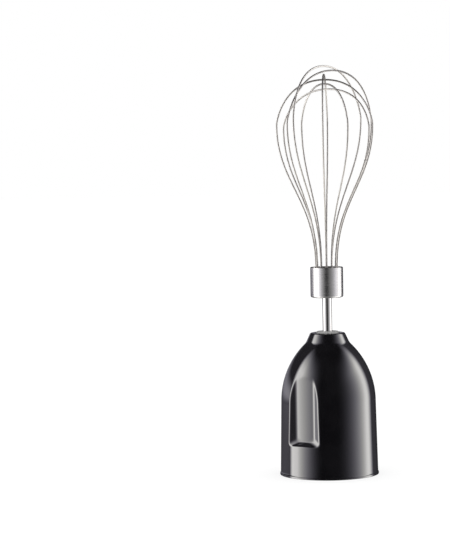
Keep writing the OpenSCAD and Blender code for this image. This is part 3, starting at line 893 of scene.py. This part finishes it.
class WHISK_OT_mechanism(bpy.types.Operator):
    """Finishes of the gearbox, the motor socket and the fasteners"""

    bl_idname = "whisk.mechanism"
    bl_label = "Gearbox and socket"

    def execute(self, context):
        for node, look in mechanism_looks().items():
            for slot in frame["nodes"][node].material_slots:
                slot.material = look
        return {"FINISHED"}


# ---------------------------------------------------------------- stage

def studio_world(scene, studio):
    """Reflections show a dim room with a soft box at either side.

    The camera itself sees plain white, and the rest of the light comes evenly from all round."""
    world = bpy.data.worlds.new("studio")
    world.use_nodes = True
    world.node_tree.nodes.clear()
    graph = Graph(world.node_tree)
    direction = graph.node("ShaderNodeTexCoord", out=0)
    turned = graph.node("ShaderNodeVectorRotate", {"rotation_type": "Z_AXIS"},
                        Vector=direction, Angle=math.pi / 2 - studio.turn)
    split = world.node_tree.nodes.new("ShaderNodeSeparateXYZ")
    world.node_tree.links.new(turned.socket, split.inputs[0])
    x, y, z = (Sock(graph, split.outputs[i]) for i in range(3))
    # 0 towards the camera, positive towards its right, in degrees
    side = graph.node("ShaderNodeMath", {"operation": "ARCTAN2"}, y, x) * (180 / math.pi)
    on_left, on_right = graph.map(side, -1.0, 1.0, 1.0, 0.0), graph.map(side, -1.0, 1.0)
    # Each box brightens slowly away from the camera, and ends beside the object
    left = graph.clamped((-12 - side) / 80) ** 2.6 * 1.5
    left = graph.clamped(left) * graph.map(side, -108.0, -95.0)
    right = graph.clamped((side - 12) / 90) ** 3.1
    right = right * graph.map(side, 107.0, 129.0, 1.0, 0.0)
    boxes = (left + right * 0.9) * graph.map(z, 0.45, 0.9, 1.0, 0.0)
    # Behind the boxes: a low glow on the left, almost nothing on the right. Below: a dim table
    rear = graph.map(side, -165.0, -105.0, 0.22, 0.9) * on_left
    rear = rear * graph.map(z, -0.12, 0.0, 0.25, 1.0) * graph.map(z, 0.03, 0.25, 1.0, 0.06)
    rear = rear + on_right * graph.map(side, 125.0, 160.0, 0.1, 0.03)
    room = 0.01 + graph.map(abs(side), 100.0, 112.0) * rear
    level = room + boxes * studio.boxes
    table = graph.map(z, -0.5, -0.2, 0.35, 0.0)
    # What is dim is also a little cooler
    tint = graph.mix(graph.clamped(level * 0.5 + table * 4),
                     (0.96, 0.93, 1.1, 1), (1.0, 0.985, 0.97, 1))
    path = world.node_tree.nodes.new("ShaderNodeLightPath")
    camera_ray, glossy_ray = Sock(graph, path.outputs[0]), Sock(graph, path.outputs[3])
    plain = graph.node("ShaderNodeBackground", {}, Color=(1, 1, 1, 1),
                       Strength=studio.fill + (1 - studio.fill) * camera_ray)
    lit = graph.node("ShaderNodeBackground", {}, Color=tint, Strength=level + table)
    both = graph.node("ShaderNodeMixShader", {}, glossy_ray, plain, lit)
    output = world.node_tree.nodes.new("ShaderNodeOutputWorld")
    world.node_tree.links.new(both.socket, output.inputs[0])
    scene.world = world


def front_panel(studio, name, azimuth, share, steel):
    """Tall panel that lights the steel pieces alone, brighter towards its outer side."""
    data = bpy.data.lights.new(name, "AREA")
    data.shape = "RECTANGLE"
    data.size, data.size_y = 1.3, 2.08
    data.energy = share * studio.front * math.pi * data.size * data.size_y
    data.use_nodes = True
    data.node_tree.nodes.clear()
    graph = Graph(data.node_tree)
    where = data.node_tree.nodes.new("ShaderNodeNewGeometry")
    split = data.node_tree.nodes.new("ShaderNodeSeparateXYZ")
    data.node_tree.links.new(where.outputs["Parametric"], split.inputs[0])
    across = Sock(graph, split.outputs[0])
    outer = across if azimuth > 0 else 1 - across
    glow = graph.node("ShaderNodeEmission", {}, Strength=0.25 + outer * 1.1)
    output = data.node_tree.nodes.new("ShaderNodeOutputLight")
    data.node_tree.links.new(glow.socket, output.inputs[0])
    light = bpy.data.objects.new(name, data)
    turn = studio.turn + azimuth
    place = Vector((math.sin(turn), -math.cos(turn), 0.15))
    light.matrix_world = Matrix.Translation(place) @ (
        -place).to_track_quat("-Z", "Y").to_matrix().to_4x4()
    light.visible_camera = False
    light.light_linking.receiver_collection = steel
    bpy.context.scene.collection.objects.link(light)


class WHISK_OT_panels(bpy.types.Operator):
    """Panels that light the rod and the ferrule, to either side of the camera"""

    bl_idname = "whisk.panels"
    bl_label = "Front panels"

    def execute(self, context):
        steel = bpy.data.collections.new("steel")
        for piece in context.scene.collection.all_objects:
            if piece.name.startswith(("whisk_rod", "ferrule_cup")):
                steel.objects.link(piece)
        studio = context.scene.whisk_studio
        front_panel(studio, "panel_left", math.radians(-45), 1.0, steel)
        front_panel(studio, "panel_right", math.radians(45), 0.72, steel)
        return {"FINISHED"}


class WHISK_OT_stage(bpy.types.Operator):
    """Pale floor, soft studio light and camera"""

    bl_idname = "whisk.stage"
    bl_label = "Stage"

    def execute(self, context):
        scene = context.scene
        studio = scene.whisk_studio
        self.camera(scene, studio)
        studio_world(scene, studio)
        mesh = bpy.data.meshes.new("floor")
        builder = bmesh.new()
        bmesh.ops.create_circle(builder, cap_ends=True, segments=96, radius=6.0)
        builder.to_mesh(mesh)
        builder.free()
        floor = add_piece("floor", mesh)
        floor.data.materials.append(self.floor_look(studio))
        floor.visible_glossy = False
        return {"FINISHED"}

    def floor_look(self, studio):
        """Pale, faintly mottled, lit up to white, and clear to a camera that is below it."""
        def build(graph):
            mottle = graph.noise(graph.coords(), 6.0, 3.0)
            return {
                "Base Color": graph.mix(graph.map(mottle, 0.3, 0.7), rgba(studio.floor),
                                        rgba([c * 0.985 for c in studio.floor])),
                "Roughness": 0.9,
                "Specular IOR Level": 0.0,
                "Emission Color": (1, 1, 1, 1),
                "Emission Strength": 0.72,
            }
        look = material("pale_floor", build)
        tree = look.node_tree
        graph = Graph(tree)
        output = next(n for n in tree.nodes if n.type == "OUTPUT_MATERIAL")
        shader = Sock(graph, output.inputs[0].links[0].from_socket)
        path = Sock(graph, tree.nodes.new("ShaderNodeLightPath").outputs["Is Camera Ray"])
        behind = Sock(graph, tree.nodes.new("ShaderNodeNewGeometry").outputs["Backfacing"])
        clear = graph.node("ShaderNodeBsdfTransparent")
        mixed = graph.node("ShaderNodeMixShader", {}, behind * path, shader, clear)
        tree.links.new(mixed.socket, output.inputs[0])
        return look

    def camera(self, scene, studio):
        """Camera at the front of the object, a little above its middle."""
        data = bpy.data.cameras.new("camera")
        data.sensor_fit = "VERTICAL"
        data.sensor_height = 24.0
        data.sensor_width = 24.0
        data.lens = data.sensor_height * studio.focal_heights
        data.clip_end = 100.0
        camera = bpy.data.objects.new("camera", data)
        turn = Matrix.Rotation(studio.turn, 4, "Z")
        place = Matrix.Translation((studio.aside, -studio.distance, studio.height))
        look = Euler((math.pi / 2 - studio.tilt, 0, studio.pan), "XYZ").to_matrix().to_4x4()
        lean = Matrix.Rotation(-studio.roll, 4, "Z")
        camera.matrix_world = turn @ place @ look @ lean
        scene.collection.objects.link(camera)
        scene.camera = camera
        scene.view_settings.view_transform = "Standard"


# ---------------------------------------------------------------- panel and registration

BUILDERS = (WHISK_OT_stage, WHISK_OT_bell, WHISK_OT_hub, WHISK_OT_rod, WHISK_OT_ferrule,
            WHISK_OT_wires, WHISK_OT_mechanism, WHISK_OT_panels)


class WHISK_PT_parts(bpy.types.Panel):
    """Lists the pieces that can be built"""

    bl_label = "Balloon whisk"
    bl_idname = "WHISK_PT_parts"
    bl_space_type = "VIEW_3D"
    bl_region_type = "UI"
    bl_category = "Whisk"

    def draw(self, context):
        for builder in BUILDERS:
            self.layout.operator(builder.bl_idname)
        for group in (context.scene.whisk_bell, context.scene.whisk_wires,
                      context.scene.whisk_studio):
            box = self.layout.box()
            for key in group.bl_rna.properties.keys():
                if key not in ("rna_type", "name"):
                    box.prop(group, key)


CLASSES = (BellProps, WhiskProps, StudioProps, *BUILDERS, WHISK_PT_parts)


def register():
    for cls in CLASSES:
        bpy.utils.register_class(cls)
    bpy.types.Scene.whisk_bell = PointerProperty(type=BellProps)
    bpy.types.Scene.whisk_wires = PointerProperty(type=WhiskProps)
    bpy.types.Scene.whisk_studio = PointerProperty(type=StudioProps)


def unregister():
    del bpy.types.Scene.whisk_studio
    del bpy.types.Scene.whisk_wires
    del bpy.types.Scene.whisk_bell
    for cls in reversed(CLASSES):
        bpy.utils.unregister_class(cls)


def main():
    register()
    bpy.ops.whisk.stage()
    bpy.ops.whisk.bell()
    bpy.ops.whisk.hub()
    bpy.ops.whisk.rod()
    bpy.ops.whisk.ferrule()
    bpy.ops.whisk.wires()
    bpy.ops.whisk.mechanism()
    bpy.ops.whisk.panels()


if __name__ == "__main__":
    main()
